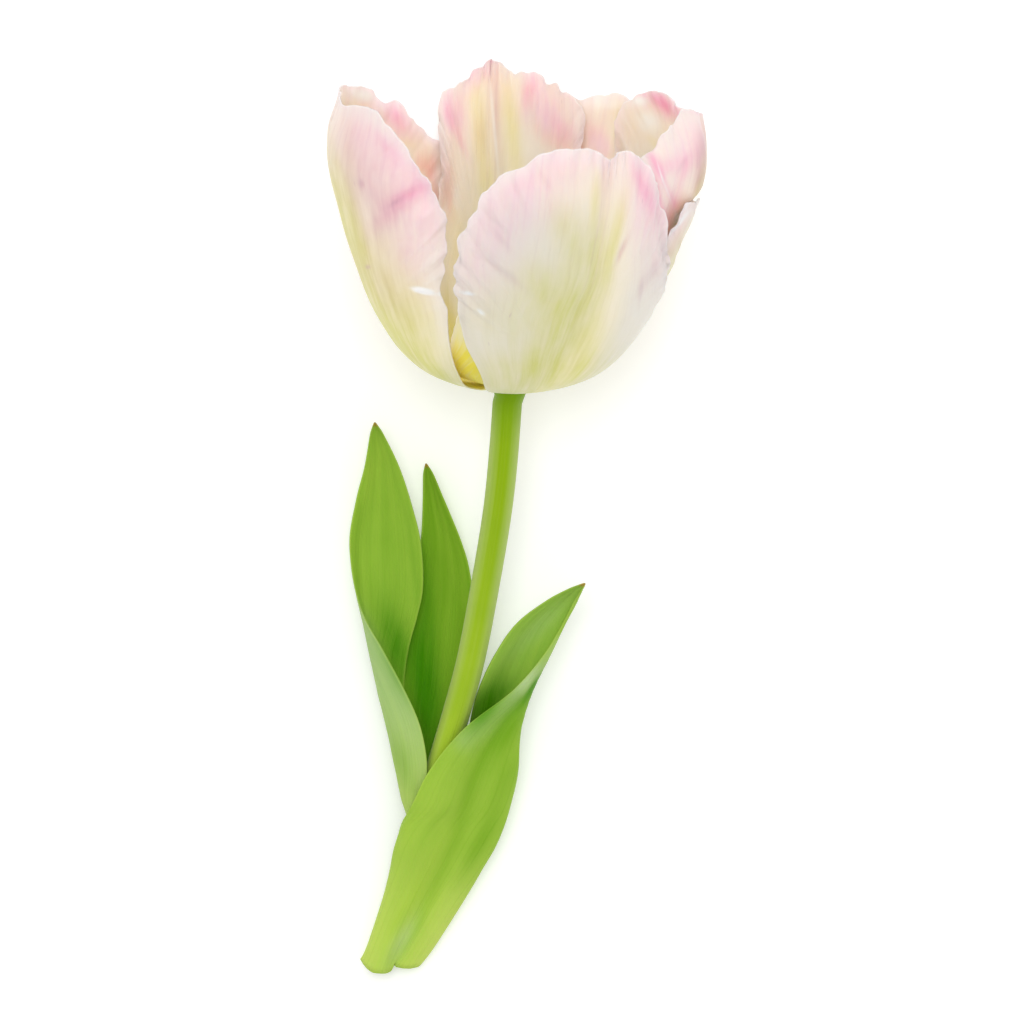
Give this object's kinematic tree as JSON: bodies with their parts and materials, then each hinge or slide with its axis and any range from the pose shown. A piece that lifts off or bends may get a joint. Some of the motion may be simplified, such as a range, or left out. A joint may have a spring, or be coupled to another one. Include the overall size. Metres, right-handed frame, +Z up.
{
  "type": "parrot tulip flower",
  "caption": "Single cut parrot tulip lying down: cupped bloom of lobed, waved petals on a slender stem with broad clasping leaves.",
  "frame": {"origin": "middle of the small flat spot under the bloom that the flower rests on", "axes": "+Y along the flower from the cut end of the stem to the mouth of the bloom, +Z up from the surface it lies on, +X towards the right leaf"},
  "size_m": [0.0983, 0.241, 0.0985],
  "materials": {
    "stem": "smooth plant skin, satin",
    "leaf": "waxy leaf, satin",
    "petal_outer": "soft petal, matt",
    "petal_inner": "soft petal, matt",
    "pistil": "smooth plant skin, matt",
    "filament": "smooth plant skin, matt",
    "anther": "powdery, matt"
  },
  "bodies": {
    "root": {"stem": "stem", "leaf_left": "leaf", "leaf_middle": "leaf", "leaf_right": "leaf", "petal_outer_front": "petal_outer", "petal_outer_left": "petal_outer", "petal_outer_back": "petal_outer", "petal_inner_right": "petal_inner", "petal_inner_back": "petal_inner", "petal_inner_front": "petal_inner", "pistil": "pistil", "filament_1": "filament", "filament_2": "filament", "filament_3": "filament", "filament_4": "filament", "filament_5": "filament", "filament_6": "filament", "anther_1": "anther", "anther_2": "anther", "anther_3": "anther", "anther_4": "anther", "anther_5": "anther", "anther_6": "anther"}
  },
  "joints": []
}
